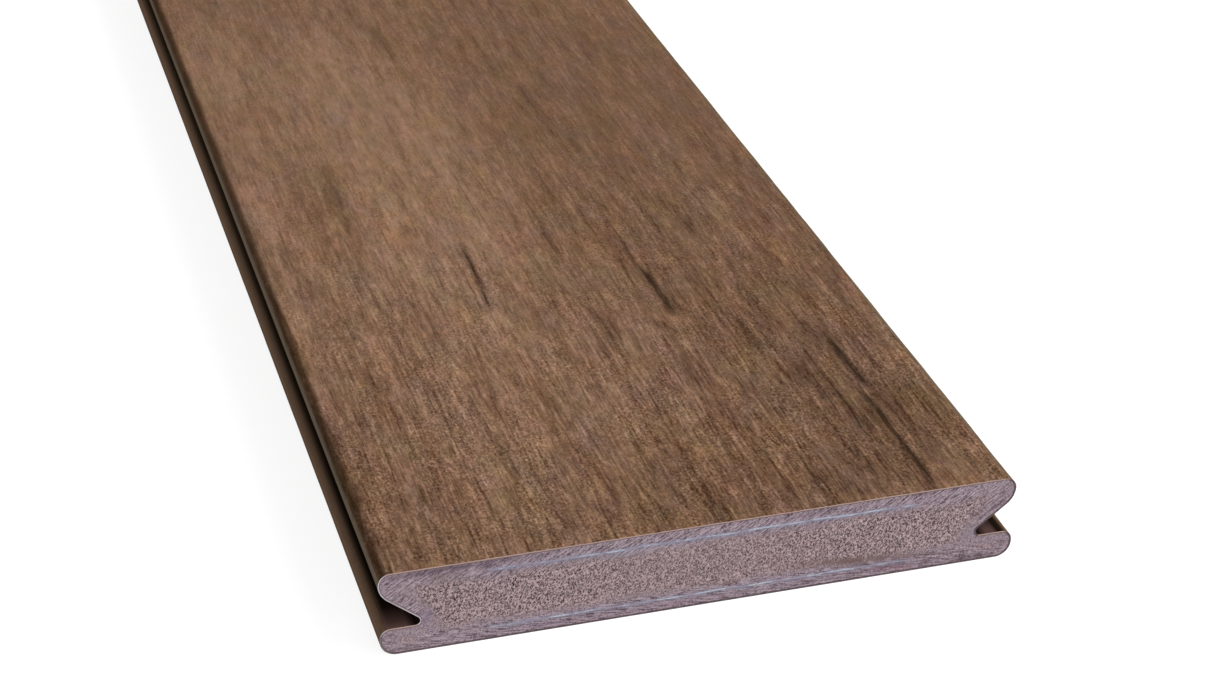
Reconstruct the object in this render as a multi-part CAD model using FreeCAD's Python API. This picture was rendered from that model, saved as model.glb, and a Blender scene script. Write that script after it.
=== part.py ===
import FreeCAD
import Part
import os
from math import acos, atan2, cos, hypot, pi, sin

# Grooved-edge composite decking board, lying on its underside.
# X runs across it, Y along it and Z up, with the origin in the middle of the underside.
# All sizes are in millimetres.

# Board
board_width = 140.0
board_thickness = 20.0
board_length = 2400.0

# Nose along each upper edge: a small rounding above its widest point, a large one below
nose_top_radius = 2.7
nose_under_radius = 5.0

# Clip groove along each edge, and the lip that stands out below it
groove_depth = 8.6
groove_root_radius = 1.0
lip_height = 6.5
lip_top_radius = 2.4
lip_bottom_radius = 3.6

# Cap, moulded round the whole section and into the grooves
cap_thickness = 0.5

# Two glass-fibre mats bedded in the core, each as deep below its own face of the board
mat_width = 94.0
mat_thickness = 0.3
mat_depth = 3.0

# Two points of a section closer than this are one point
same_point = 1e-6

half_width = board_width / 2
nose_height = board_thickness - nose_top_radius


def arc_points(centre, radius, start, end):
    """Give the start, middle and end of an arc, from its angles in the section."""
    angles = (start, (start + end) / 2, end)
    return [(centre[0] + radius * cos(a), centre[1] + radius * sin(a)) for a in angles]


def right_edge(inset):
    """Give the arcs of the right-hand edge, from the top face down to the underside.

    With an inset the outline moves into the board: each rounding keeps its centre,
    the outer ones get smaller and the groove's root gets larger.
    """
    # A rounding is never larger than the wall that it is on
    nose_radius = min(nose_under_radius, (nose_height - lip_height) / 2)
    lip_share = min(1.0, lip_height / (lip_top_radius + lip_bottom_radius))
    top_radius = lip_top_radius * lip_share
    bottom_radius = lip_bottom_radius * lip_share

    nose = (half_width - nose_radius, nose_height)
    root = (half_width - groove_depth + groove_root_radius, lip_height + groove_root_radius)

    # The slope under the nose touches the nose on one side and the root on the other.
    # facing is the angle that this slope looks towards.
    across = root[0] - nose[0]
    down = nose[1] - root[1]
    touching = (nose_radius + groove_root_radius) / hypot(across, down)
    facing = atan2(-down, across) + acos(touching)

    return [
        arc_points((half_width - nose_top_radius, nose_height), nose_top_radius - inset, pi / 2, 0),
        arc_points(nose, nose_radius - inset, 0, facing),
        arc_points(root, groove_root_radius + inset, facing + pi, 3 * pi / 2),
        arc_points((half_width - top_radius, lip_height - top_radius), top_radius - inset, pi / 2, 0),
        arc_points((half_width - bottom_radius, bottom_radius), bottom_radius - inset, 0, -pi / 2),
    ]


def section_point(point):
    """Place a point of the section on the board's near end."""
    return FreeCAD.Vector(point[0], -board_length / 2, point[1])


def board_section(inset):
    """Close the right-hand edge and its mirror image with straight lines."""
    right = right_edge(inset)
    left = [[(-x, z) for x, z in reversed(arc)] for arc in reversed(right)]
    arcs = right + left
    edges = []
    for arc, next_arc in zip(arcs, arcs[1:] + arcs[:1]):
        start, middle, end = [section_point(point) for point in arc]
        edges.append(Part.Arc(start, middle, end).toShape())
        next_start = section_point(next_arc[0])
        if end.distanceToPoint(next_start) > same_point:
            edges.append(Part.LineSegment(end, next_start).toShape())
    return Part.Wire(edges)


def full_length(section):
    """Run a closed section along the whole board."""
    return Part.Face(section).extrude(FreeCAD.Vector(0, board_length, 0))


def glass_mat(height):
    """Make one mat, with the middle of its thickness at this height."""
    corner = FreeCAD.Vector(-mat_width / 2, -board_length / 2, height - mat_thickness / 2)
    return Part.makeBox(mat_width, board_length, mat_thickness, corner)


board = full_length(board_section(0))
inside_cap = full_length(board_section(cap_thickness))
upper_mat = glass_mat(board_thickness - mat_depth)
lower_mat = glass_mat(mat_depth)

pieces = {
    "cap_layer": board.cut(inside_cap),
    "foam_core": inside_cap.cut([upper_mat, lower_mat]),
    "upper_glass_mat": upper_mat,
    "lower_glass_mat": lower_mat,
}

os.makedirs("parts", exist_ok=True)
for name, piece in pieces.items():
    solid = piece.Solids[0]
    solid.exportStep("parts/%s.step" % name)
    print(name, "solids", len(piece.Solids), "valid", solid.isValid(), "cm3", round(solid.Volume / 1000, 1))
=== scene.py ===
import math
import random

import bpy
import numpy as np
from mathutils import Euler, Matrix, Vector
from mathutils.geometry import delaunay_2d_cdt


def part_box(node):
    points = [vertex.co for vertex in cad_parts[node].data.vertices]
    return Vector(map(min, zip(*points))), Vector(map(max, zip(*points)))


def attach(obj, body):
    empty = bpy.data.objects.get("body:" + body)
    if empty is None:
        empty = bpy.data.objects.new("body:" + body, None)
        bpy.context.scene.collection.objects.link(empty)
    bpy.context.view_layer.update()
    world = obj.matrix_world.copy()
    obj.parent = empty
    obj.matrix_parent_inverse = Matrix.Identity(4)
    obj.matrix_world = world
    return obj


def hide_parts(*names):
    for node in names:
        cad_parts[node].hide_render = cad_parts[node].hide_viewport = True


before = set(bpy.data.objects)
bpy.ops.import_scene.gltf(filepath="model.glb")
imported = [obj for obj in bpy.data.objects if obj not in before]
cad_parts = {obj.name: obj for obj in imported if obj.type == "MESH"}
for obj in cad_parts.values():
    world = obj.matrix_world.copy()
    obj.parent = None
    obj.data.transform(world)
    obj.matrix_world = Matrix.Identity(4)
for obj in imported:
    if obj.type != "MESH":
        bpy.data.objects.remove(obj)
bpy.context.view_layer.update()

mm = 0.001
capLow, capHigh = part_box("cap_layer")
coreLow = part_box("foam_core")[0]

# The board's own sizes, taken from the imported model
board = {
    "width": capHigh.x - capLow.x,
    "thickness": capHigh.z - capLow.z,
    "nearEnd": capLow.y,
    "farEnd": capHigh.y,
    "cap": coreLow.z - capLow.z,
}

# The moulded edge: nose, clip groove and lip
edge = {
    "noseTopRadius": 2.7 * mm,
    "noseUnderRadius": 5.0 * mm,
    "grooveDepth": 8.6 * mm,
    "grooveRootRadius": 1.0 * mm,
    "lipHeight": 6.5 * mm,
    "lipTopRadius": 2.4 * mm,
    "lipBottomRadius": 3.6 * mm,
    "arcStep": 0.45 * mm,
}


def linear(hexColour):
    channels = [int(hexColour[i:i + 2], 16) / 255 for i in (1, 3, 5)]
    curve = [c / 12.92 if c <= 0.04045 else ((c + 0.055) / 1.055) ** 2.4 for c in channels]
    return (*curve, 1.0)


# Adds one node: an input is a plain value, a socket, or a node whose first live output is used
def addNode(tree, kind, inputs=None, **settings):
    node = tree.nodes.new(kind)
    for name, value in settings.items():
        setattr(node, name, value)
    for key, value in (inputs or {}).items():
        if isinstance(value, bpy.types.Node):
            value = next(output for output in value.outputs if output.enabled)
        if isinstance(value, bpy.types.NodeSocket):
            tree.links.new(value, node.inputs[key])
        else:
            node.inputs[key].default_value = value
    return node


def smoothStep(value):
    value = np.clip(value, 0.0, 1.0)
    return value * value * (3 - 2 * value)


# Rises from 0 at the start to 1 a run further on, or the other way where the run is negative
def ramp(value, start, run):
    return smoothStep((value - start) / run)


# Section outline

# One rounding: rows of x, z and the outward direction there
def arcRows(centre, radius, start, end):
    steps = max(3, round(abs(end - start) * radius / edge["arcStep"]))
    angles = np.linspace(start, end, steps + 1)
    facing = np.stack([np.cos(angles), np.sin(angles)], 1)
    side = 1 if start > end else -1    # the groove's root curves the other way
    return np.hstack([np.array(centre) + radius * facing, side * facing])


# The right-hand edge from the top face down to the underside
def rightEdge():
    half = board["width"] / 2
    noseHeight = board["thickness"] - edge["noseTopRadius"]
    noseUnder, rootRadius = edge["noseUnderRadius"], edge["grooveRootRadius"]
    nose = (half - noseUnder, noseHeight)
    root = (half - edge["grooveDepth"] + rootRadius, edge["lipHeight"] + rootRadius)
    across, down = root[0] - nose[0], nose[1] - root[1]
    touching = (noseUnder + rootRadius) / math.hypot(across, down)
    slope = math.atan2(-down, across) + math.acos(touching)
    quarter = math.pi / 2
    lipTop, lipBottom = edge["lipTopRadius"], edge["lipBottomRadius"]
    return np.vstack([
        arcRows((half - edge["noseTopRadius"], noseHeight), edge["noseTopRadius"], quarter, 0),
        arcRows(nose, noseUnder, 0, slope)[1:],
        arcRows(root, rootRadius, slope + math.pi, 3 * quarter),
        arcRows((half - lipTop, edge["lipHeight"] - lipTop), lipTop, quarter, 0),
        arcRows((half - lipBottom, lipBottom), lipBottom, 0, -quarter),
    ])


# Whole section, clockwise from the right nose, with the straight stretches divided
def sectionRows(topStep, sideStep, underStep):
    right = rightEdge()
    left = right[::-1] * (-1, 1, -1, 1)
    corners = np.vstack([right, left])
    onFace = 0.01 * mm
    rows = []
    for here, there in zip(corners, np.roll(corners, -1, 0)):
        height = (here[1] + there[1]) / 2
        step = sideStep
        if height > board["thickness"] - onFace:
            step = topStep
        elif height < onFace:
            step = underStep
        parts = max(1, round(math.hypot(*(there - here)[:2]) / step))
        for share in np.arange(parts) / parts:
            rows.append(here + (there - here) * share)
    rows = np.array(rows)
    rows[:, 2:] /= np.linalg.norm(rows[:, 2:], axis=1)[:, None]
    return rows


# Stations along the board: close together at the near end, wider apart further on
def stationRows(count, nearShare):
    share = np.linspace(0, 1, count)
    along = nearShare * share + (1 - nearShare) * share ** 3
    return board["nearEnd"] + (board["farEnd"] - board["nearEnd"]) * along


def newPiece(name, points, faces, materials):
    mesh = bpy.data.meshes.new(name)
    mesh.from_pydata([tuple(p) for p in points], [], faces)
    for material in materials:
        mesh.materials.append(material)
    piece = bpy.data.objects.new(name, mesh)
    bpy.context.scene.collection.objects.link(piece)
    return piece


def storeOnPoints(piece, name, values, kind="FLOAT"):
    attribute = piece.data.attributes.new(name, kind, "POINT")
    field = {"FLOAT": "value", "FLOAT_VECTOR": "vector", "FLOAT_COLOR": "color"}[kind]
    attribute.data.foreach_set(field, np.asarray(values, np.float32).ravel())


# Turns a finished modifier into plain mesh, and drops the modifier
def bake(piece):
    graph = bpy.context.evaluated_depsgraph_get()
    shown = piece.evaluated_get(graph)
    mesh = bpy.data.meshes.new_from_object(shown, preserve_all_data_layers=True, depsgraph=graph)
    piece.modifiers.clear()
    old, piece.data = piece.data, mesh
    bpy.data.meshes.remove(old)
    mesh.name = piece.name


def newTree(name, sockets):
    tree = bpy.data.node_groups.new(name, "GeometryNodeTree")
    tree.interface.new_socket("Geometry", in_out="INPUT", socket_type="NodeSocketGeometry")
    for label in sockets:
        tree.interface.new_socket(label, in_out="INPUT", socket_type="NodeSocketFloat")
    tree.interface.new_socket("Geometry", in_out="OUTPUT", socket_type="NodeSocketGeometry")
    return tree


# Sets a modifier's inputs by their identifiers, so that the labels can be read in Blender
def useTree(piece, tree, values):
    modifier = piece.modifiers.new(tree.name, "NODES")
    modifier.node_group = tree
    for item in tree.interface.items_tree:
        if item.in_out == "INPUT" and item.name in values:
            modifier[item.identifier] = float(values[item.name])


# Grain marks on the walking face

grain = {
    "topStep": 0.6 * mm,
    "sideStep": 0.9 * mm,
    "underStep": 4.0 * mm,
    "stations": 236,
    "nearShare": 0.17,
    "depth": 0.09 * mm,
    "width": 2.4 * mm,
    "length": 20.0 * mm,
    "plainDepth": 0.25,    # share of the depth on the moulded edges and the underside
    "crease": 50,    # degrees
}

# A dark streak is a narrow core in a soft halo. Its widths are shares of its own, the rest is in mm
streakShape = {
    "core": 0.62,
    "coreWidth": 0.5,
    "haloWidth": 1.2,
    "wander": 0.8,
    "wanderLength": 17,
    "headFade": 6,
    "tailFade": 9,
}

# Marks on the rest of the board are drawn at random within these limits, in mm
stray = {
    "seed": 41,
    "streaks": 260,
    "streakFrom": 290,
    "streakReach": 64,
    "streakLengths": (12, 20, 34, 60),
    "lengthSpread": (0.7, 1.3),
    "streakWidth": (0.7, 1.9),
    "streakStrength": (0.25, 0.8),
    "zones": 22,
    "zoneFrom": 340,
    "zoneReach": 60,
    "zoneWidth": (16, 30),
    "zoneLength": (60, 180),
    "zoneStrength": (0.25, 0.6),
}

# Dark mineral streaks near the sawn end, in mm: across, from and to along the board, width, strength
nearStreaks = [
    (-19.6, 102, 137, 1.0, 1.1), (20.6, 89, 112, 1.6, 1.35), (19.4, 112, 135, 1.0, 0.8),
    (3.8, 125, 140, 1.6, 0.7), (4.2, 80, 95, 1.2, 0.7), (53.2, 45, 67, 1.2, 1.3),
    (50.8, 1, 43, 1.1, 1.3), (40.4, 50, 60, 1.8, 0.5), (44.8, 25, 66, 0.9, 0.8),
    (4.6, -4, 17, 1.0, 0.6), (28.6, -4, 27, 0.8, 0.6), (16.0, 59, 67, 1.4, 0.5),
    (46.4, 109, 118, 1.8, 0.5), (-29.0, 6, 32, 0.7, 0.45), (-21.0, 77, 86, 1.1, 0.4),
    (41.0, 10, 24, 1.8, 0.55), (36.0, 66, 84, 1.6, 0.45), (-28.8, 144, 149, 2.6, 0.5),
    (20.2, 192, 228, 3.0, 0.4), (-9.2, 254, 279, 2.0, 0.4), (56.0, 92, 104, 1.4, 0.35),
    (-44.0, 150, 196, 1.2, 0.4), (-52.0, 96, 118, 1.0, 0.35), (31.0, 128, 150, 1.1, 0.35),
]

# Broad lighter and darker zones, in mm: across, along, half width, half length, strength
nearZones = [
    (-22, 175, 24, 92, 0.95), (-30, 60, 28, 64, 0.35), (24, 176, 25, 88, -0.3), (58, 160, 12, 90, -0.25),
    (47, 45, 18, 44, -0.75), (12, 22, 26, 26, -0.4), (-58, 30, 14, 40, -0.3), (36, 262, 34, 34, -0.15),
    (-46, 262, 28, 36, 0.5), (-62, 180, 12, 100, 0.55), (12, 100, 9, 24, 0.35), (69, 120, 6, 220, -0.2),
    (-8, 6, 44, 16, -0.4), (33, 100, 13, 22, -0.4),
]


# The near marks, and those on the rest of the board
def allMarks():
    draw = random.Random(stray["seed"])
    length = (board["farEnd"] - board["nearEnd"]) / mm
    streaks, zones = list(nearStreaks), list(nearZones)
    for _ in range(stray["streaks"]):
        start = draw.uniform(stray["streakFrom"], length)
        run = draw.choice(stray["streakLengths"]) * draw.uniform(*stray["lengthSpread"])
        across = draw.uniform(-stray["streakReach"], stray["streakReach"])
        width, strength = draw.uniform(*stray["streakWidth"]), draw.uniform(*stray["streakStrength"])
        streaks.append((across, start, start + run, width, strength))
    for _ in range(stray["zones"]):
        sign = draw.choice((-1, 1))
        across = draw.uniform(-stray["zoneReach"], stray["zoneReach"])
        along = draw.uniform(stray["zoneFrom"], length)
        halfWidth, halfLength = draw.uniform(*stray["zoneWidth"]), draw.uniform(*stray["zoneLength"])
        zones.append((across, along, halfWidth, halfLength, sign * draw.uniform(*stray["zoneStrength"])))
    return streaks, zones


# How deep each point is in a dark streak, from 0 to 1, and in a dark or pale zone, from -1 to 1
def markFields(across, along):
    streaks, zones = allMarks()
    core, head, tail = streakShape["core"], streakShape["headFade"], streakShape["tailFade"]
    streak, zone = np.zeros_like(across), np.zeros_like(across)
    for x, start, end, width, strength in streaks:
        drift = streakShape["wander"] * np.sin((along - start) / streakShape["wanderLength"] + x)
        gap = (across - x - drift) / width
        sideways = core * np.exp(-(gap / streakShape["coreWidth"]) ** 2)
        sideways += (1 - core) * np.exp(-(gap / streakShape["haloWidth"]) ** 2)
        lengthways = ramp(along, start - head / 2, head) * ramp(along, end + tail / 2, -tail)
        streak = np.maximum(streak, strength * sideways * lengthways)
    flatness = 1.6    # above 1 a zone is flat in its middle
    for x, y, halfWidth, halfLength, strength in zones:
        spread = ((across - x) / halfWidth) ** 2 + ((along - y) / halfLength) ** 2
        zone += strength * np.exp(-spread ** flatness)
    return streak, np.clip(zone, -1, 1)


# Presses the grain into the cap: valleys follow stretched noise, and each dark streak is a valley too
def embossTree(materials):
    tree = newTree("Grain emboss", ["Grain depth", "Grain width", "Grain length"])
    start = addNode(tree, "NodeGroupInput")
    place = addNode(tree, "GeometryNodeInputPosition")
    weight, streak, outward, sawn = [
        addNode(tree, "GeometryNodeInputNamedAttribute", {"Name": name}, data_type=kind)
        for name, kind in (("embossed", "FLOAT"), ("streak", "FLOAT"), ("outward", "FLOAT_VECTOR"),
                           ("sawn", "BOOLEAN"))]
    width, length = start.outputs["Grain width"], start.outputs["Grain length"]
    pitch = addNode(tree, "ShaderNodeCombineXYZ", {0: width, 1: length, 2: width})
    grid = addNode(tree, "ShaderNodeVectorMath", {0: place, 1: pitch}, operation="DIVIDE")
    noise = addNode(tree, "ShaderNodeTexNoise", {
        "Vector": grid, "Scale": 1.0, "Detail": 3.0, "Roughness": 0.6, "Distortion": 0.4})
    valley = addNode(tree, "ShaderNodeMapRange", {"Value": noise, 1: 0.36, 2: 0.62, 3: 1.0, 4: 0.0},
                     interpolation_type="SMOOTHSTEP")
    deepest = addNode(tree, "ShaderNodeMath", {0: valley, 1: streak}, operation="MAXIMUM")
    pressed = addNode(tree, "ShaderNodeMath", {0: deepest, 1: weight}, operation="MULTIPLY")
    depth = addNode(tree, "ShaderNodeMath", {
        0: pressed, 1: start.outputs["Grain depth"]}, operation="MULTIPLY")
    inward = addNode(tree, "ShaderNodeMath", {0: depth, 1: -1.0}, operation="MULTIPLY")
    offset = addNode(tree, "ShaderNodeVectorMath", {0: outward, "Scale": inward}, operation="SCALE")
    moved = addNode(tree, "GeometryNodeSetPosition", {
        "Geometry": start.outputs["Geometry"], "Offset": offset})
    real = addNode(tree, "GeometryNodeRealizeInstances", {"Geometry": moved})
    faced = addNode(tree, "GeometryNodeSetMaterial", {"Geometry": real, "Material": materials[0]})
    cut = addNode(tree, "GeometryNodeSetMaterial", {
        "Geometry": faced, "Selection": sawn, "Material": materials[1]})
    addNode(tree, "NodeGroupOutput", {"Geometry": cut})
    return tree


# Painted light and shade round the moulded edges. Each pair is a start and a run, in mm in from
# the board's side, or in how the surface faces, which is 1 straight up and -1 straight down
sideShade = {
    "noseFrom": 12,    # mm up
    "groove": (2, 14),    # mm up, from and to
    "grained": (-0.15, 0.6),    # facing
    "grooveShade": (-0.3, 2.8),
    "shoulderShade": (2.1, -0.6),
    "shoulderOuter": (-0.1, 0.6),
    "mouthInner": (7.4, -1.6),
    "mouthRun": 1.3,
    "rimUnderRun": 0.35,    # facing
}

# What differs between the left edge and the right one, in the painted light and shade
leftRight = {
    "shoulderShare": (0.6, 0.7),
    "rimFrom": (0.6, 1.0),    # facing, as are the next two
    "rimRun": (-0.4, -0.2),
    "rimUnder": (-0.6, 0.2),
    "rimShare": (0.6, 0.45),
    "mouthLight": (0.8, 3.2),
}


# Where the section carries grain, and the light and shade painted on it: painted shade along the top
# edge's shoulder, a painted sheen round the rim below it, painted shade in the groove, and painted light
# on the lip at the groove's open end
def sideFields(rows):
    fromSide = (board["width"] / 2 - np.abs(rows[:, 0])) / mm
    height, facing = rows[:, 1] / mm, rows[:, 3]
    sided = {key: np.where(rows[:, 0] < 0, *pair) for key, pair in leftRight.items()}
    nose = height > sideShade["noseFrom"]
    grooveFrom, grooveTo = sideShade["groove"]
    inGroove = (height > grooveFrom) * (height < grooveTo)
    shoulderShade = ramp(fromSide, *sideShade["shoulderShade"]) * ramp(fromSide, *sideShade["shoulderOuter"])
    rimSheen = ramp(facing, sided["rimFrom"], sided["rimRun"])
    rimSheen *= ramp(facing, sided["rimUnder"], sideShade["rimUnderRun"])
    mouthLight = ramp(fromSide, sided["mouthLight"], sideShade["mouthRun"])
    mouthLight *= ramp(fromSide, *sideShade["mouthInner"])
    grained = ramp(facing, *sideShade["grained"]) * nose
    return grained, {
        "grooveShade": ramp(fromSide, *sideShade["grooveShade"]) * inGroove,
        "shoulderShade": shoulderShade * nose * sided["shoulderShare"],
        "rimSheen": rimSheen * nose * sided["rimShare"],
        "mouthLight": mouthLight * inGroove,
    }


# The cap: a fine outer skin with the grain in it, a plain inner skin, and a sawn ring at each end
def makeCap(materials):
    rows = sectionRows(grain["topStep"], grain["sideStep"], grain["underStep"])
    stations = stationRows(grain["stations"], grain["nearShare"])
    around, along = len(rows), len(stations)
    # The rings of points run near to far outside, then far to near inside, and close on themselves
    rings = along + 2
    points = np.zeros((rings, around, 3))
    points[:along, :, 0], points[:along, :, 2] = rows[:, 0], rows[:, 1]
    points[:along, :, 1] = stations[:, None]
    inner = rows[:, :2] - rows[:, 2:] * board["cap"]
    points[along:, :, 0], points[along:, :, 2] = inner[:, 0], inner[:, 1]
    points[along, :, 1], points[along + 1, :, 1] = stations[-1], stations[0]
    faces, sawn = [], []
    for ring in range(rings):
        here, there = ring * around, (ring + 1) % rings * around
        for k in range(around):
            after = (k + 1) % around
            faces.append((here + k, here + after, there + after, there + k))
            sawn.append(ring in (along - 1, along + 1))
    piece = newPiece("woodGrainCap", points.reshape(-1, 3), faces, materials)
    outer = np.arange(rings)[:, None] < along
    grained, shades = sideFields(rows)
    plain = grain["plainDepth"]
    outward = np.zeros((rings, around, 3))
    outward[..., 0], outward[..., 2] = rows[:, 2], rows[:, 3]
    streak, zone = markFields(points[..., 0] / mm, (points[..., 1] - board["nearEnd"]) / mm)
    fields = {
        "embossed": np.where(outer, plain + (1 - plain) * grained, 0.0),
        "streak": streak * grained,
        "zone": zone,
        "capDepth": np.where(outer, 0.0, 1.0),
        **shades,
    }
    for name, values in fields.items():
        storeOnPoints(piece, name, np.broadcast_to(values, streak.shape))
    storeOnPoints(piece, "outward", outward, "FLOAT_VECTOR")
    attribute = piece.data.attributes.new("sawn", "BOOLEAN", "FACE")
    attribute.data.foreach_set("value", sawn)
    useTree(piece, embossTree(materials), {
        "Grain depth": grain["depth"], "Grain width": grain["width"], "Grain length": grain["length"]})
    bake(piece)
    piece.data.polygons.foreach_set("use_smooth", [True] * len(piece.data.polygons))
    piece.data.set_sharp_from_angle(angle=math.radians(grain["crease"]))
    print("cap:", len(piece.data.polygons) * 2, "triangles")
    return piece


# Glass-fibre mats

mat = {
    "step": 0.5 * mm,
    "proud": 0.06 * mm,
    "waveHeight": 0.13 * mm,
    "waves": [(13.0 * mm, 0.6, 1), (31.0 * mm, 0.5, 2)],    # length, share, times the phase
    "upper": (1.9, -1.0),    # phase and tilt
    "lower": (0.4, -0.8),
    "edgeShare": 0.35,    # of the thickness, at the side edges
    "feather": 6.0 * mm,
}


# A mat's line across the section, in gentle waves that start at a phase and tilt at the sides
def matLine(node, phase, tilt):
    low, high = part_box(node)
    count = round((high.x - low.x) / mat["step"])
    x = np.linspace(low.x, high.x, count + 1)
    wave = tilt * (x / high.x) ** 3
    for length, share, times in mat["waves"]:
        wave += np.sin(2 * math.pi * x / length + times * phase) * share
    middle = (low.z + high.z) / 2 + mat["waveHeight"] * wave
    thin = mat["edgeShare"]
    feathered = thin + (1 - thin) * ramp(np.abs(x), high.x, -mat["feather"])
    return x, middle, (high.z - low.z) / 2 * feathered


def matLoop(line):
    x, middle, half = line
    upper = np.stack([x, middle + half], 1)
    lower = np.stack([x, middle - half], 1)[::-1]
    return np.vstack([upper, lower])


def makeMat(name, line, material):
    loop = matLoop(line)
    count, half = len(loop), len(loop) // 2
    ends = (board["nearEnd"] - mat["proud"], board["farEnd"] + mat["proud"])
    points = [(x, y, z) for y in ends for x, z in loop]
    faces = []
    for k in range(count):
        after = (k + 1) % count
        faces.append((k, after, count + after, count + k))
    for k in range(half - 1):
        faces.append((k, count - 1 - k, count - 2 - k, k + 1))
        faces.append((count + k + 1, 2 * count - 2 - k, 2 * count - 1 - k, count + k))
    piece = newPiece(name, points, faces, [material])
    print(name + ":", len(faces) * 2, "triangles")
    return piece


# Foam core

foam = {
    "nearStep": 0.27 * mm,
    "farStep": 0.42 * mm,
    "topStep": 1.2 * mm,
    "clear": 0.14 * mm,    # kept free of points beside every edge
    "jitter": 0.18,    # of a step
    "rowStep": 0.87,    # of a step, for near-equal triangles
    # From here on in mm. Real cells are too fine to show, and are drawn as coarse as they need to
    "poreWidth": 0.34,
    "poreLength": 0.58,
    "poreLean": math.radians(-33),
    "poreDepth": 0.16,
    # How far in the dense skin reaches, and the run over which it turns to foam
    "skinBelow": (3.6, 2.2),
    "skinAbove": (3.2, 2.4),
    "skinSide": (8.0, 5.5),
    "wobble": [(0.5, 5.1, 1.0), (0.4, 2.3, 0.0)],    # height, length, phase
    "skinWobble": 0.6,    # of it, above and below
    # Beside the groove the skin leans as the groove's own slope does, about this height
    "grooveMiddle": 8.5,
    "grooveLean": 0.6,
    "grooveReach": 20,
    # Partly foamed hearts of the nose and the lip: from the side, up, half length, half height, share
    "pockets": [(8.0, 15.2, 3.6, 1.6, 0.4), (5.6, 3.3, 3.2, 1.5, 0.75)],
    "middleCells": 0.72,    # their contrast in the board's middle
    "coarserFrom": (8, 26),
    "sawPitch": 1.1,
    "sawDepth": 0.035,
    "sawLean": math.radians(32),
    "strokeLeans": (33, -7),    # degrees, near the top face and near the underside
    "strokeTurn": (8.0, 4.0),    # the heights between which they change
    "seed": 7,
}


# How foamed the section is at a point, from 0 in the dense skin to 1 in the middle
def foamShare(x, z):
    x, z = x / mm, z / mm
    top, fromSide = board["thickness"] / mm, board["width"] / mm / 2 - np.abs(x)
    wobble = sum(height * np.sin(x / length + phase) for height, length, phase in foam["wobble"])
    (low, lowRun), (high, highRun) = foam["skinBelow"], foam["skinAbove"]
    shift = foam["skinWobble"] * wobble
    share = ramp(z + shift, low, lowRun) * ramp(z - shift, top - high, -highRun)
    leaning = fromSide + foam["grooveLean"] * (z - foam["grooveMiddle"])
    share *= np.where(fromSide < foam["grooveReach"], ramp(leaning + wobble, *foam["skinSide"]), 1.0)
    for side, up, halfLength, halfHeight, most in foam["pockets"]:
        spread = ((fromSide - side) / halfLength) ** 2 + ((z - up) / halfHeight) ** 2
        share = np.maximum(share, most * np.exp(-spread))
    return share


# Cells are coarser towards both edges of the board
def cellShare(x, z):
    middle = foam["middleCells"]
    return foamShare(x, z) ** 1.5 * (middle + (1 - middle) * ramp(np.abs(x / mm), *foam["coarserFrom"]))


# Smears left by the saw, in mm: across, up, half length, half height, fall to the right, colour, strength
smears = [
    (34, 4.9, 16, 0.95, 0.09, "#75605c", 1.0), (42, 1.5, 6, 0.5, 0.10, "#a8727f", 0.7),
    (50, 3.7, 12, 0.22, 0.09, "#5a4640", 0.8), (66, 16.4, 5, 1.6, 0.0, "#a8949a", 0.2),
    (-66, 16.2, 4, 2.4, 0.0, "#9c858a", 0.25), (66, 3.2, 6, 2.0, 0.0, "#96838d", 0.15),
    (-66, 3.2, 5, 2.0, 0.0, "#937f86", 0.15), (-6, 1.7, 9, 0.45, 0.05, "#9d8090", 0.5),
    (-34, 1.4, 10, 0.4, 0.04, "#7c6a80", 0.6), (-58, 2.4, 8, 0.7, -0.08, "#9c8890", 0.5),
    (22, 18.4, 12, 0.5, 0.0, "#7a6878", 0.4), (-50, 18.6, 9, 0.6, -0.06, "#74687c", 0.5),
    (-54, 17.4, 8, 1.2, 0.0, "#75645f", 0.45), (36, 3.7, 8, 0.8, 0.09, "#65535a", 0.8),
    (42, 1.9, 13, 0.9, 0.05, "#65515a", 0.75), (61, 1.0, 7, 0.8, -0.04, "#4c3f45", 0.85),
    (-64, 1.0, 6, 0.6, 0.0, "#5f525a", 0.6), (65, 12.9, 3.6, 0.4, -0.75, "#54404e", 0.85),
    (62, 12.6, 3.2, 0.3, -0.75, "#665260", 0.75), (66.5, 15.6, 2.6, 0.3, -0.7, "#6c5866", 0.7),
    (-54, 18.9, 22, 0.9, 0.0, "#57454f", 0.8), (0, 1.7, 64, 1.1, 0.0, "#746370", 0.35),
    (-20, 15.6, 9, 0.5, 0.0, "#8c8a92", 0.5), (60, 7.5, 2.5, 1.6, 0.0, "#8f8790", 0.6),
    (-60, 8.5, 2.0, 2.0, 0.0, "#786a80", 0.6),
]

# Bluish haze that the resin leaves beside each mat, in mm
haze = {
    "tint": "#8389a0",
    "strength": 0.75,
    "halfHeight": 0.5,
    "below": 0.1,
    "sides": (49, -4),
}


# Lays a colour into the field, mixed by strength with the one that is there
def layIn(field, tint, share):
    least = 1e-9    # where nothing is laid yet
    weight = share / (share + field[:, 3] + least)
    field[:, :3] += (np.array(linear(tint)[:3]) - field[:, :3]) * weight[:, None]
    field[:, 3] = np.maximum(field[:, 3], share)


# Colour and strength of the smears and the haze
def smearField(x, z, matLines):
    x, z = x / mm, z / mm
    field = np.zeros((len(x), 4))
    taper = 1.5    # draws a smear's ends in
    for across, up, halfLength, halfHeight, fall, tint, strength in smears:
        rise = z - up + fall * (x - across)
        share = strength * np.exp(-((x - across) / halfLength) ** 2 * taper - (rise / halfHeight) ** 2)
        layIn(field, tint, share)
    for lineX, lineZ, _ in matLines:
        gap = z - np.interp(x, lineX / mm, lineZ / mm) + haze["below"]
        share = haze["strength"] * np.exp(-(gap / haze["halfHeight"]) ** 2)
        layIn(field, haze["tint"], share * ramp(np.abs(x), *haze["sides"]))
    return field


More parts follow.
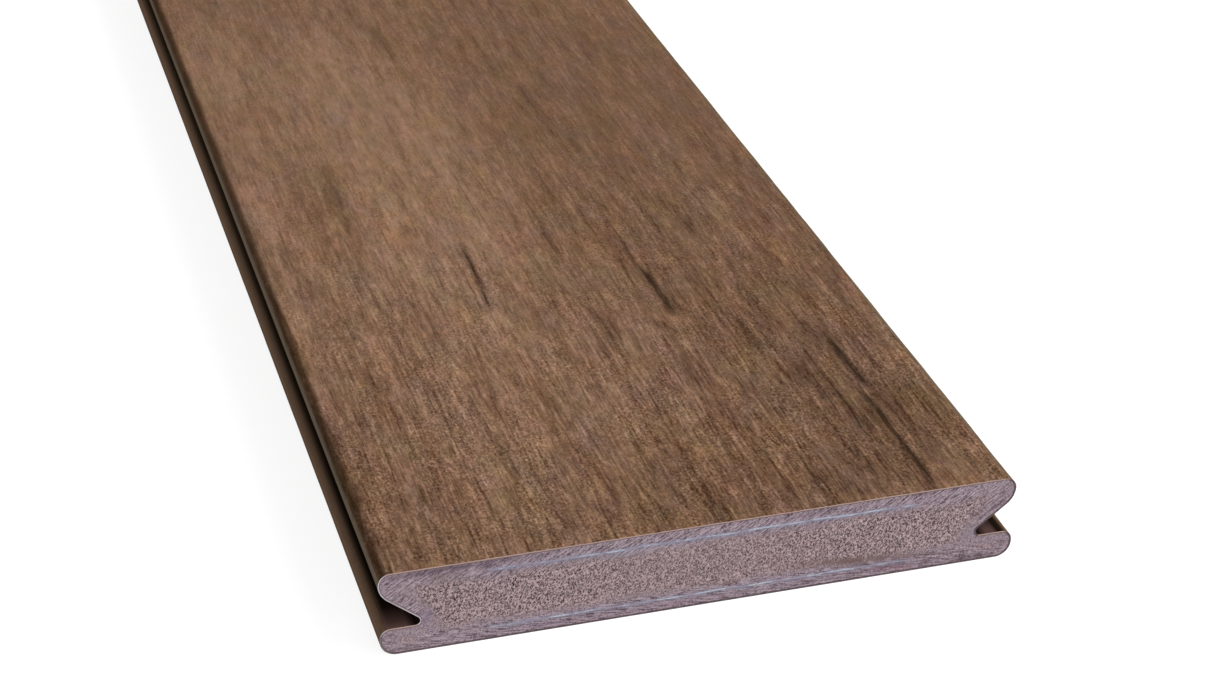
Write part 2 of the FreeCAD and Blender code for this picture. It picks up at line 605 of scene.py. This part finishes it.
# Which points lie inside a closed loop
def insideLoop(loop, points):
    inside = np.zeros(len(points), bool)
    x, z = points[:, 0], points[:, 1]
    for (x0, z0), (x1, z1) in zip(loop, np.roll(loop, -1, 0)):
        if z0 == z1:
            continue
        crosses = (z0 > z) != (z1 > z)
        inside ^= crosses & (x < (x1 - x0) * (z - z0) / (z1 - z0) + x0)
    return inside


# Which points lie within reach of a closed loop
def nearLoop(loop, points, reach):
    close = np.zeros(len(points), bool)
    least = 1e-18    # for an edge of no length
    for start, end in zip(loop, np.roll(loop, -1, 0)):
        low, high = np.minimum(start, end) - reach, np.maximum(start, end) + reach
        some = np.flatnonzero(((points > low) & (points < high)).all(1) & ~close)
        along = end - start
        share = np.clip((points[some] - start) @ along / max(along @ along, least), 0, 1)
        gap = np.linalg.norm(points[some] - start - share[:, None] * along, axis=1)
        close[some[gap < reach]] = True
    return close


# Triangles over one sawn end, with points inside for the relief
def endTriangles(loops, step, seed):
    rng = np.random.default_rng(seed)
    low, high = loops[0].min(0), loops[0].max(0)
    xs, zs = np.arange(low[0], high[0], step), np.arange(low[1], high[1], step * foam["rowStep"])
    grid = np.stack(np.meshgrid(xs, zs), -1)
    grid[1::2, :, 0] += step / 2
    jitter = foam["jitter"]
    grid = grid.reshape(-1, 2) + rng.uniform(-jitter, jitter, (xs.size * zs.size, 2)) * step
    keep = insideLoop(loops[0], grid)
    for loop in loops:
        keep &= ~nearLoop(loop, grid, foam["clear"])
    for loop in loops[1:]:
        keep &= ~insideLoop(loop, grid)
    grid = grid[keep]
    border = np.vstack(loops)
    edges, start = [], 0
    for loop in loops:
        edges += [(start + k, start + (k + 1) % len(loop)) for k in range(len(loop))]
        start += len(loop)
    points = np.vstack([border, grid])
    scaled = [Vector(p) for p in points / mm]
    merge = 1e-7
    found = delaunay_2d_cdt(scaled, edges, [], 0, merge)
    if len(found[0]) != len(points):
        raise RuntimeError("the sawn end gained or lost points")
    order = [ids[0] for ids in found[3]]
    triangles = np.array([[order[k] for k in face] for face in found[2]])
    centre = points[triangles].mean(1)
    inside = insideLoop(loops[0], centre)
    for loop in loops[1:]:
        inside &= ~insideLoop(loop, centre)
    triangles = triangles[inside]
    a, b, c = points[triangles[:, 0]], points[triangles[:, 1]], points[triangles[:, 2]]
    turn = (b - a)[:, 0] * (c - a)[:, 1] - (b - a)[:, 1] * (c - a)[:, 0]
    triangles[turn < 0] = triangles[turn < 0][:, ::-1]
    return points, triangles


# Cells drawn out the way the blade went: low in a burst cell, high on the burr between cells
def cellNoise(tree, place):
    leaning = addNode(tree, "ShaderNodeVectorRotate", {
        "Vector": place, "Axis": (0, 1, 0), "Angle": foam["poreLean"]}, rotation_type="AXIS_ANGLE")
    size = (1 / foam["poreWidth"], 1 / foam["poreWidth"], 1 / foam["poreLength"])
    narrow = addNode(tree, "ShaderNodeVectorMath", {0: leaning, 1: size}, operation="MULTIPLY")
    walls = addNode(tree, "ShaderNodeTexVoronoi", {"Vector": narrow, "Scale": 1.0, "Randomness": 0.9})
    noise = addNode(tree, "ShaderNodeTexNoise", {
        "Vector": narrow, "Scale": 2.1, "Detail": 1.0, "Roughness": 0.7})
    return addNode(tree, "ShaderNodeMix", {0: 0.45, 2: walls, 3: noise})


# 1 in the hollow of a burst cell, for the relief and for the painted shade in it alike
def burstCells(tree, noise):
    return addNode(tree, "ShaderNodeMapRange", {"Value": noise, 1: 0.3, 2: 0.46, 3: 1.0, 4: 0.0},
                   interpolation_type="SMOOTHSTEP")


# Saw marks and burst cells on the cut ends
def sawnTree(material):
    tree = newTree("Sawn foam", ["Pore depth", "Saw pitch", "Saw depth"])
    start = addNode(tree, "NodeGroupInput")
    metres = addNode(tree, "GeometryNodeInputPosition")
    place = addNode(tree, "ShaderNodeVectorMath", {0: metres, "Scale": 1 / mm}, operation="SCALE")
    share, inward = [
        addNode(tree, "GeometryNodeInputNamedAttribute", {"Name": name}, data_type="FLOAT")
        for name in ("cells", "inward")]
    cells = burstCells(tree, cellNoise(tree, place))
    burst = addNode(tree, "ShaderNodeMath", {0: cells, 1: share}, operation="MULTIPLY")
    poreDepth = addNode(tree, "ShaderNodeMath", {
        0: burst, 1: start.outputs["Pore depth"]}, operation="MULTIPLY")
    turned = addNode(tree, "ShaderNodeVectorRotate", {
        "Vector": place, "Axis": (0, 1, 0), "Angle": foam["sawLean"]}, rotation_type="AXIS_ANGLE")
    long = addNode(tree, "ShaderNodeVectorMath", {0: turned, 1: (0.12, 1.0, 1.0)}, operation="MULTIPLY")
    sawSize = addNode(tree, "ShaderNodeMath", {0: 1.0, 1: start.outputs["Saw pitch"]}, operation="DIVIDE")
    teeth = addNode(tree, "ShaderNodeTexNoise", {"Vector": long, "Scale": sawSize, "Detail": 2.0})
    sawDepth = addNode(tree, "ShaderNodeMath", {
        0: teeth, 1: start.outputs["Saw depth"]}, operation="MULTIPLY")
    depth = addNode(tree, "ShaderNodeMath", {0: poreDepth, 1: sawDepth}, operation="ADD")
    signed = addNode(tree, "ShaderNodeMath", {0: depth, 1: inward}, operation="MULTIPLY")
    offset = addNode(tree, "ShaderNodeCombineXYZ", {1: signed})
    moved = addNode(tree, "GeometryNodeSetPosition", {
        "Geometry": start.outputs["Geometry"], "Offset": offset})
    real = addNode(tree, "GeometryNodeRealizeInstances", {"Geometry": moved})
    done = addNode(tree, "GeometryNodeSetMaterial", {"Geometry": real, "Material": material})
    addNode(tree, "NodeGroupOutput", {"Geometry": done})
    return tree


# The core: both sawn ends with their relief, and plain walls between them, round each mat too
def makeCore(material, matLines):
    matLoops = [matLoop(line)[::-1] for line in matLines]
    rows = sectionRows(foam["topStep"], grain["sideStep"], grain["underStep"])
    outline = rows[:, :2] - rows[:, 2:] * board["cap"]
    loops = [outline] + matLoops
    border = sum(len(loop) for loop in loops)
    nearPoints, nearTriangles = endTriangles(loops, foam["nearStep"], foam["seed"])
    farPoints, farTriangles = endTriangles(loops, foam["farStep"], foam["seed"] + 1)
    nearCount = len(nearPoints)
    points = np.zeros((nearCount + len(farPoints), 3))
    points[:nearCount, [0, 2]], points[nearCount:, [0, 2]] = nearPoints, farPoints
    points[:nearCount, 1], points[nearCount:, 1] = board["nearEnd"], board["farEnd"]
    faces = [tuple(t) for t in nearTriangles]
    faces += [tuple(t[::-1] + nearCount) for t in farTriangles]
    start = 0
    for loop in loops:
        for k in range(len(loop)):
            here, after = start + k, start + (k + 1) % len(loop)
            faces.append((here, after, nearCount + after, nearCount + here))
        start += len(loop)
    piece = newPiece("foamCore", points, faces, [material])
    inward = np.zeros(len(points))
    inward[border:nearCount], inward[nearCount + border:] = 1, -1
    storeOnPoints(piece, "inward", inward)
    storeOnPoints(piece, "foam", foamShare(points[:, 0], points[:, 2]))
    storeOnPoints(piece, "cells", cellShare(points[:, 0], points[:, 2]))
    storeOnPoints(piece, "smear", smearField(points[:, 0], points[:, 2], matLines), "FLOAT_COLOR")
    useTree(piece, sawnTree(material), {
        "Pore depth": foam["poreDepth"] * mm,
        "Saw pitch": foam["sawPitch"], "Saw depth": foam["sawDepth"] * mm})
    bake(piece)
    print("core:", sum(len(p.vertices) - 2 for p in piece.data.polygons), "triangles")
    return piece


# Materials

# Noise drawn out along the board, with its width and length in mm
def grainNoise(tree, place, width, length, detail=2.0, rough=0.55, shift=0.0, bend=0.3):
    moved = addNode(tree, "ShaderNodeVectorMath", {
        0: place, 1: (shift, 3.1 * shift, 1.7 * shift)}, operation="ADD")
    scaled = addNode(tree, "ShaderNodeVectorMath", {
        0: moved, 1: (1 / width, 1 / length, 1 / width)}, operation="MULTIPLY")
    return addNode(tree, "ShaderNodeTexNoise", {
        "Vector": scaled, "Scale": 1.0, "Detail": detail, "Roughness": rough, "Distortion": bend})


# The same as streaks or specks, from 0 to 1
def grainLayer(tree, place, width, length, low, high, detail=2.0, shift=0.0, bend=0.3):
    noise = grainNoise(tree, place, width, length, detail=detail, shift=shift, bend=bend)
    return addNode(tree, "ShaderNodeMapRange", {
        "Value": noise, 1: low, 2: high}, interpolation_type="SMOOTHSTEP")


# Lays tints over a colour in turn. Each has a mask, a strength, and a hex colour or a node
def layTints(tree, colour, *layers):
    colour = linear(colour) if isinstance(colour, str) else colour
    for mask, strength, tint in layers:
        tint = linear(tint) if isinstance(tint, str) else tint
        if strength != 1:
            mask = addNode(tree, "ShaderNodeMath", {0: mask, 1: strength}, operation="MULTIPLY")
        colour = addNode(tree, "ShaderNodeMix", {0: mask, 6: colour, 7: tint}, data_type="RGBA")
    return colour


# An empty material, and its Object coordinates in mm
def newMaterial(name):
    material = bpy.data.materials.new(name)
    material.use_nodes = True
    tree = material.node_tree
    tree.nodes.clear()
    metres = addNode(tree, "ShaderNodeTexCoord").outputs["Object"]
    return material, tree, addNode(tree, "ShaderNodeVectorMath", {
        0: metres, "Scale": 1 / mm}, operation="SCALE")


# Ends a material with its surface, bumped by a height that is drawn a depth in mm
def addSurface(tree, height, strength, depth, inputs):
    bump = addNode(tree, "ShaderNodeBump", {"Strength": strength, "Distance": depth * mm, "Height": height})
    shader = addNode(tree, "ShaderNodeBsdfPrincipled", {"Normal": bump, **inputs})
    addNode(tree, "ShaderNodeOutputMaterial", {"Surface": shader})


# The printed grain is one tone, in levels of brightness out of 255 about the middle brown, and a hue
tone = {
    # Noise layers: mm across and along, octaves, bend, levels
    "streaks": [
        (4.0, 70, 3, 0.3, 42), (4.2, 34, 3, 0.2, 70), (3.2, 10, 2, 0.0, 52),
        (1.8, 2.8, 2, 0.0, 46), (0.6, 7, 1, 0.0, 66),
    ],
    "lines": [(0.9, 24, -18), (0.8, 15, 13)],    # mm across and along, levels
    "grit": (0.6, 0.8, 1, 110),    # mm across and along, octaves, levels
    "gritPatch": (7, 16),    # mm across and along
    "gritShare": (0.45, 1.15),    # in a smooth patch and in a gritty one
    "zones": (-13, 15),
    "darkStreak": -48,
    "reach": 60,
    "browns": ["#36221a", "#543c2d", "#745946", "#96765f", "#b8947a"],
    # Swing of red, green and blue from one fleck of pigment to the next
    "swing": (0.5, 0.0, 0.85),
    # Marks lose contrast with distance from the near end, as in the photo: mm from, mm to, share left.
    # The fine ones fade by crisp and the broad ones by clear.
    "crisp": (40, 200, 0.32),
    "clear": (80, 220, 0.67),
    # Painted light on the groove's lip near either end
    "groove": (8, 1),    # mm in from either end, between which light reaches the groove's lip
}

capTints = {
    "streak": "#3a3226",
    "moulded": "#8b705a",
    "drawn": "#9b7e68",
    # Painted light and shade from here on: painted shade on the shoulder, a painted sheen on the rim,
    # painted shade in the groove, darker near the near end, and painted light at the groove's mouth
    "shoulderShade": "#301d06",
    "rimSheen": "#8f8573",
    "groove": "#3c2e22",
    "grooveShadeNear": "#0f0907",
    "mouthLight": "#57413f",
}


# Adds a noise, less its middle and faded, to the running sum of levels
def addTone(tree, total, noise, middle, levels, fade):
    centred = addNode(tree, "ShaderNodeMath", {0: noise, 1: middle}, operation="SUBTRACT")
    strength = addNode(tree, "ShaderNodeMath", {0: levels, 1: fade}, operation="MULTIPLY")
    return addNode(tree, "ShaderNodeMath", {0: centred, 1: strength, 2: total}, operation="MULTIPLY_ADD")


# The printed grain's colour, and its grit for the bump
def grainColour(tree, place, crisp, clear):
    streak, zone = [
        addNode(tree, "ShaderNodeAttribute", attribute_name=name).outputs["Fac"]
        for name in ("streak", "zone")]
    darkest, palest = tone["zones"]
    level = addNode(tree, "ShaderNodeMapRange", {"Value": zone, 1: -1.0, 2: 1.0, 3: darkest, 4: palest})
    for number, (width, length, octaves, bend, levels) in enumerate(tone["streaks"]):
        noise = grainNoise(tree, place, width, length, octaves, 0.95, shift=7 + 13 * number, bend=bend)
        level = addTone(tree, level, noise, 0.5, levels, crisp if width < 2 else clear)
    for number, (width, length, levels) in enumerate(tone["lines"]):
        lines = grainLayer(tree, place, width, length, 0.52, 0.74, detail=1, shift=171 + 20 * number)
        level = addTone(tree, level, lines, 0.0, levels, crisp)
    # The fine grit stands in patches, with smoother ones between
    width, length, octaves, levels = tone["grit"]
    grit = grainNoise(tree, place, width, length, octaves, 0.95, shift=63, bend=0)
    patch = grainLayer(tree, place, *tone["gritPatch"], 0.34, 0.62, shift=77)
    smooth, gritty = tone["gritShare"]
    strength = addNode(tree, "ShaderNodeMapRange", {"Value": patch, 3: smooth * levels, 4: gritty * levels})
    level = addTone(tree, level, grit, 0.5, strength, crisp)
    # A placed streak is one soft dark core, roughened by the grain's own fine lines
    hair = grainLayer(tree, place, 0.7, 9, 0.25, 0.7, shift=151)
    fray = addNode(tree, "ShaderNodeMapRange", {"Value": hair, 3: 0.5, 4: 1.2})
    frayed = addNode(tree, "ShaderNodeMath", {0: streak, 1: fray}, operation="MULTIPLY")
    dark = addNode(tree, "ShaderNodeMath", {0: frayed, 1: 1.5}, operation="POWER")
    level = addNode(tree, "ShaderNodeMath", {
        0: dark, 1: tone["darkStreak"], 2: level}, operation="MULTIPLY_ADD")
    share = addNode(tree, "ShaderNodeMapRange", {"Value": level, 1: -tone["reach"], 2: tone["reach"]})
    browns = addNode(tree, "ShaderNodeValToRGB", {"Fac": share})
    stops = browns.color_ramp.elements
    while len(stops) < len(tone["browns"]):
        stops.new(0.5)
    for k, brown in enumerate(tone["browns"]):
        stops[k].position = k / (len(tone["browns"]) - 1)
        stops[k].color = linear(brown)
    colour = layTints(tree, browns, (streak, 0.35, capTints["streak"]))
    flecks = grainNoise(tree, place, 9, 18, 4, 0.85, shift=91)
    middle = tuple(1 - swing / 2 for swing in tone["swing"])
    tint = addNode(tree, "ShaderNodeVectorMath", {
        0: flecks.outputs["Color"], 1: tone["swing"], 2: middle}, operation="MULTIPLY_ADD")
    return addNode(tree, "ShaderNodeVectorMath", {0: colour, 1: tint}, operation="MULTIPLY"), grit


# Co-extruded polymer cap, roller-embossed: matt to the eye, with the grain pressed and tinted in
def capMaterial():
    material, tree, place = newMaterial("Co-extruded polymer cap, embossed wood grain")
    embossed, shoulderShade, rimSheen, grooveShade, mouthLight = [
        addNode(tree, "ShaderNodeAttribute", attribute_name=name).outputs["Fac"]
        for name in ("embossed", "shoulderShade", "rimSheen", "grooveShade", "mouthLight")]
    along = addNode(tree, "ShaderNodeSeparateXYZ", {"Vector": place}).outputs["Y"]
    nearEnd, farEnd = board["nearEnd"] / mm, board["farEnd"] / mm
    crisp, clear = [
        addNode(tree, "ShaderNodeMapRange", {
            "Value": along, 1: nearEnd + start, 2: nearEnd + end, 3: 1.0, 4: left})
        for start, end, left in (tone["crisp"], tone["clear"])]
    printed, grit = grainColour(tree, place, crisp, clear)
    # Fine lines that the die draws along the moulded edges
    drawn = grainLayer(tree, place, 0.8, 400, 0.3, 0.7, shift=7, bend=0)
    # Over the moulded colour and the printed grain go the painted shade on the shoulder and the painted
    # sheen on the rim
    colour = layTints(tree, capTints["moulded"], (drawn, 1, capTints["drawn"]), (embossed, 1, printed),
                      (shoulderShade, 1, capTints["shoulderShade"]), (rimSheen, 1, capTints["rimSheen"]))
    # Painted shade in the grooves, darker towards the near end, but for their open ends, where painted
    # light gets in
    middle = (nearEnd + farEnd) / 2
    fromMiddle = addNode(tree, "ShaderNodeMath", {0: along, 1: middle}, operation="SUBTRACT")
    away = addNode(tree, "ShaderNodeMath", {0: fromMiddle}, operation="ABSOLUTE")
    longHalf = (farEnd - nearEnd) / 2
    lightFrom, lightTo = tone["groove"]
    opening = addNode(tree, "ShaderNodeMapRange", {
        "Value": away, 1: longHalf - lightFrom, 2: longHalf - lightTo})
    opening = addNode(tree, "ShaderNodeMath", {0: opening, 1: mouthLight}, operation="MULTIPLY")
    hollowShade = layTints(tree, capTints["groove"], (crisp, 1, capTints["grooveShadeNear"]),
                      (opening, 1, capTints["mouthLight"]))
    colour = layTints(tree, colour, (grooveShade, 0.97, hollowShade))
    height = addNode(tree, "ShaderNodeMath", {0: grit, 1: embossed}, operation="MULTIPLY")
    roughness = addNode(tree, "ShaderNodeMapRange", {"Value": embossed, 3: 0.42, 4: 0.6})
    addSurface(tree, height, 0.5, 0.15, {
        "Base Color": colour, "Roughness": roughness, "IOR": 1.46, "Specular IOR Level": 0.0})
    return material


# The cap's sawn edge: a painted highlight where it faces up and to the left, painted shade where it faces
# down and to the right, a plain dark mauve low down, and dark against the core
sawnTints = {
    # Painted shade where the edge faces down and to the right; the next two are a painted highlight where
    # it faces up and to the left, the cooler one where it faces left
    "left": "#463a3c",
    "highlight": "#bda096",
    "coolHighlight": "#c3bbc4",
    # Low down the edge turns this colour, over the highlight too
    "low": "#4e4245",
    "inner": "#4c3c42",
    "torn": "#8a7570",
}


def sawnCapMaterial():
    material, tree, place = newMaterial("Polymer cap, sawn edge")
    outward = addNode(tree, "ShaderNodeAttribute", attribute_name="outward").outputs["Vector"]
    depth = addNode(tree, "ShaderNodeAttribute", attribute_name="capDepth").outputs["Fac"]
    # Painted highlight where the edge faces up and to the left, cooler where it faces left, and painted
    # shade elsewhere
    facing = addNode(tree, "ShaderNodeVectorMath", {
        0: outward, 1: (-1.0, 0.0, 0.35)}, operation="DOT_PRODUCT").outputs["Value"]
    lit = addNode(tree, "ShaderNodeMapRange", {
        "Value": facing, 1: -0.3, 2: 0.25}, interpolation_type="SMOOTHSTEP")
    sideways = addNode(tree, "ShaderNodeSeparateXYZ", {"Vector": outward}).outputs["X"]
    coolLit = addNode(tree, "ShaderNodeMapRange", {"Value": sideways, 1: -0.2, 2: -0.7})
    height = addNode(tree, "ShaderNodeSeparateXYZ", {"Vector": place}).outputs["Z"]
    low = addNode(tree, "ShaderNodeMapRange", {"Value": height, 1: 5.8, 2: 4.6, 4: 0.75})
    inner = addNode(tree, "ShaderNodeMapRange", {
        "Value": depth, 1: 0.4, 2: 0.6}, interpolation_type="SMOOTHSTEP")
    torn = grainLayer(tree, place, 0.8, 0.8, 0.4, 0.7, bend=0)
    litTint = layTints(tree, sawnTints["highlight"], (coolLit, 1, sawnTints["coolHighlight"]))
    colour = layTints(tree, sawnTints["left"], (lit, 1, litTint), (low, 1, sawnTints["low"]),
                      (inner, 0.85, sawnTints["inner"]), (torn, 0.4, sawnTints["torn"]))
    addSurface(tree, torn, 0.4, 0.05, {"Base Color": colour, "Roughness": 0.7, "Specular IOR Level": 0.2})
    return material


# Foamed polymer composite, sawn: matt, mauve and dense at the skin, browner and open-celled inside
foamTints = {
    "skin": "#806d77",
    "skinMottle": "#93828e",
    "cell": "#1c0607",
    "burr": "#c8adae",
    "cellMottle": "#968082",
    "sawDark": "#47353f",
    "sawPale": "#b5a3af",
    "grit": "#b8a6aa",
    "soot": "#4c3b43",
    # Painted shade in the burst cells
    "hollowShade": "#2e1a19",
}


def foamMaterial():
    material, tree, place = newMaterial("Foamed polymer composite, sawn")
    foamed, coarse = [
        addNode(tree, "ShaderNodeAttribute", attribute_name=name).outputs["Fac"]
        for name in ("foam", "cells")]
    smear = addNode(tree, "ShaderNodeAttribute", attribute_name="smear")
    mottled = grainLayer(tree, place, 2.4, 2.4, 0.3, 0.7, detail=3, shift=2)
    # The foam's grain swings evenly between dark cell, partly painted shade in the open cells, and pale
    # burr, more so where the cells are coarse
    noise = cellNoise(tree, place)
    swing = addNode(tree, "ShaderNodeMapRange", {"Value": noise, 1: 0.4, 2: 0.65, 3: -0.5, 4: 0.5})
    cellTone = addNode(tree, "ShaderNodeMath", {0: swing, 1: coarse, 2: 0.5}, operation="MULTIPLY_ADD")
    inner = layTints(tree, foamTints["cell"], (cellTone, 1, foamTints["burr"]),
                     (mottled, 0.12, foamTints["cellMottle"]))
    # Saw streaks, steep near the top face and almost level near the underside
    steep, level = [
        addNode(tree, "ShaderNodeVectorRotate", {
            "Vector": place, "Axis": (0, 1, 0), "Angle": math.radians(lean)}, rotation_type="AXIS_ANGLE")
        for lean in foam["strokeLeans"]]
    height = addNode(tree, "ShaderNodeSeparateXYZ", {"Vector": place}).outputs["Z"]
    highFrom, lowFrom = foam["strokeTurn"]
    high = addNode(tree, "ShaderNodeMapRange", {"Value": height, 1: lowFrom, 2: highFrom})
    turned = addNode(tree, "ShaderNodeMix", {0: high, 4: level, 5: steep}, data_type="VECTOR")
    long = addNode(tree, "ShaderNodeVectorMath", {0: turned, 1: (0.18, 1.0, 1.8)}, operation="MULTIPLY")
    teeth = addNode(tree, "ShaderNodeTexNoise", {
        "Vector": long, "Scale": 1.6, "Detail": 3.0, "Roughness": 0.72})
    streaks = addNode(tree, "ShaderNodeMapRange", {
        "Value": teeth, 1: 0.41, 2: 0.59}, interpolation_type="SMOOTHSTEP")
    sawn = layTints(tree, foamTints["sawDark"], (streaks, 1, foamTints["sawPale"]))
    grit = grainLayer(tree, place, 0.42, 0.42, 0.42, 0.6, detail=2, shift=9, bend=0)
    soot = grainLayer(tree, place, 0.36, 0.36, 0.48, 0.66, detail=2, shift=19, bend=0)
    # Painted shade in the burst cells' hollows, over their real relief
    hollowShade = addNode(tree, "ShaderNodeMath", {0: burstCells(tree, noise), 1: coarse}, operation="MULTIPLY")
    blotch = grainLayer(tree, place, 1.6, 1.6, 0.2, 0.56, detail=2, shift=29)
    worn = addNode(tree, "ShaderNodeMath", {0: smear.outputs["Alpha"], 1: blotch}, operation="MULTIPLY")
    colour = layTints(
        tree, foamTints["skin"], (mottled, 1, foamTints["skinMottle"]), (0.95, 1, sawn),
        (foamed, 1, inner), (grit, 0.5, foamTints["grit"]), (soot, 0.52, foamTints["soot"]),
        (hollowShade, 0.55, foamTints["hollowShade"]), (worn, 1, smear.outputs["Color"]))
    addSurface(tree, teeth, 0.35, 0.06, {
        "Base Color": colour, "Roughness": 0.85, "Specular IOR Level": 0.1})
    return material


# Glass-fibre mat in resin: a bluish-white line that comes and goes with the resin over it
glassTints = {
    "resin": "#8f8490",
    "glass": "#b5bdc8",
    "shade": "#8a8698",
}


def glassMaterial():
    material, tree, place = newMaterial("Glass-fibre mat, resin bonded")
    wet = grainLayer(tree, place, 5, 5, 0.45, 0.57, detail=3, shift=4)
    fine = grainLayer(tree, place, 0.6, 0.6, 0.35, 0.65, detail=2, shift=6, bend=0)
    colour = layTints(tree, glassTints["resin"], (wet, 1, glassTints["glass"]),
                      (fine, 0.5, glassTints["shade"]))
    addSurface(tree, fine, 0.5, 0.05, {"Base Color": colour, "Roughness": 0.5, "IOR": 1.5})
    return material


# Build the pieces
capFinish = [capMaterial(), sawnCapMaterial()]
glassFinish, foamFinish = glassMaterial(), foamMaterial()
print("finishes: cap, sawn cap, glass-fibre mat, foam")

upperLine = matLine("upper_glass_mat", *mat["upper"])
lowerLine = matLine("lower_glass_mat", *mat["lower"])
cap = makeCap(capFinish)
upperMat = makeMat("upperGlassMat", upperLine, glassFinish)
lowerMat = makeMat("lowerGlassMat", lowerLine, glassFinish)
core = makeCore(foamFinish, [upperLine, lowerLine])

for piece, node, slotName in (
        (cap, "cap_layer", "cap"), (core, "foam_core", "core"),
        (upperMat, "upper_glass_mat", "glass_mat"), (lowerMat, "lower_glass_mat", "glass_mat")):
    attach(piece, "root")
    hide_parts(node)

# Studio

studio = {
    "floorSize": 60.0,
    "floorWhite": "#8c8c8c",
    "floorLift": 0.86,
    "fill": 0.15,
    # Broad soft lamps, as far off as a sun, so the board is lit alike from end to end:
    # name, where it stands, spread in degrees, level
    "lamps": [
        ("softKey", (0.74, -0.16, 0.66), 45, 0.74),
        ("softFront", (0.28, -0.90, 0.33), 50, 0.64),
        ("softBack", (0.52, 0.82, 0.22), 45, 0.5),
        ("softLeft", (-0.76, -0.30, 0.58), 45, 0.22),
    ],
    "lampDistance": 3,
    "sensor": 36.0,
    "lens": 77.95,
    "camera": (-154.6, -432.1, 319.9),    # mm from the middle of the near end's lower edge
    "turn": (60.7394, -0.7350, -16.6189),    # degrees about x, y and z
}


# 1 for rays from the camera and in reflections, 0 for light that spreads
def seenShare(tree):
    rays = addNode(tree, "ShaderNodeLightPath")
    seen = addNode(tree, "ShaderNodeMath", {
        0: rays.outputs["Is Camera Ray"], 1: rays.outputs["Is Glossy Ray"]}, operation="ADD")
    return addNode(tree, "ShaderNodeMath", {
        0: seen, 1: rays.outputs["Is Transmission Ray"]}, operation="ADD", use_clamp=True)


# White to the camera and in reflections, and it keeps the board's shadow
def floorMaterial():
    material = bpy.data.materials.new("White studio floor")
    material.use_nodes = True
    tree = material.node_tree
    tree.nodes.clear()
    seen = seenShare(tree)
    matt = addNode(tree, "ShaderNodeBsdfDiffuse", {"Color": linear(studio["floorWhite"])})
    lift = addNode(tree, "ShaderNodeMath", {0: seen, 1: studio["floorLift"]}, operation="MULTIPLY")
    glow = addNode(tree, "ShaderNodeEmission", {"Color": (1, 1, 1, 1), "Strength": lift})
    both = addNode(tree, "ShaderNodeAddShader", {0: matt, 1: glow})
    addNode(tree, "ShaderNodeOutputMaterial", {"Surface": both})
    return material


def makeFloor():
    half = studio["floorSize"] / 2
    corners = [(-half, -half, 0), (half, -half, 0), (half, half, 0), (-half, half, 0)]
    floor = newPiece("studioFloor", corners, [(0, 1, 2, 3)], [floorMaterial()])


def makeWorld():
    world = bpy.data.worlds.new("White surroundings")
    bpy.context.scene.world = world
    world.use_nodes = True
    tree = world.node_tree
    tree.nodes.clear()
    strength = addNode(tree, "ShaderNodeMapRange", {"Value": seenShare(tree), 3: studio["fill"], 4: 1.0})
    sky = addNode(tree, "ShaderNodeBackground", {"Color": (1, 1, 1, 1), "Strength": strength})
    addNode(tree, "ShaderNodeOutputWorld", {"Surface": sky})


def addLamp(name, towards, spread, level):
    lamp = bpy.data.lights.new(name, "SUN")
    lamp.angle, lamp.energy = math.radians(spread), level * math.pi
    holder = bpy.data.objects.new(name, lamp)
    holder.rotation_euler = Vector(towards).to_track_quat("Z", "Y").to_euler()
    holder.location = Vector(towards) * studio["lampDistance"]
    bpy.context.scene.collection.objects.link(holder)


def makeCamera():
    data = bpy.data.cameras.new("photoCamera")
    data.sensor_width, data.lens = studio["sensor"], studio["lens"]
    camera = bpy.data.objects.new("photoCamera", data)
    place = Vector(studio["camera"]) * mm + Vector((0, board["nearEnd"], 0))
    turn = Euler([math.radians(angle) for angle in studio["turn"]])
    camera.matrix_world = Matrix.Translation(place) @ turn.to_matrix().to_4x4()
    bpy.context.scene.collection.objects.link(camera)
    bpy.context.scene.camera = camera


makeFloor()
makeWorld()
for lampValues in studio["lamps"]:
    addLamp(*lampValues)
makeCamera()
print("studio: floor, world, lamps and camera")

bpy.context.scene.view_settings.view_transform = "Standard"
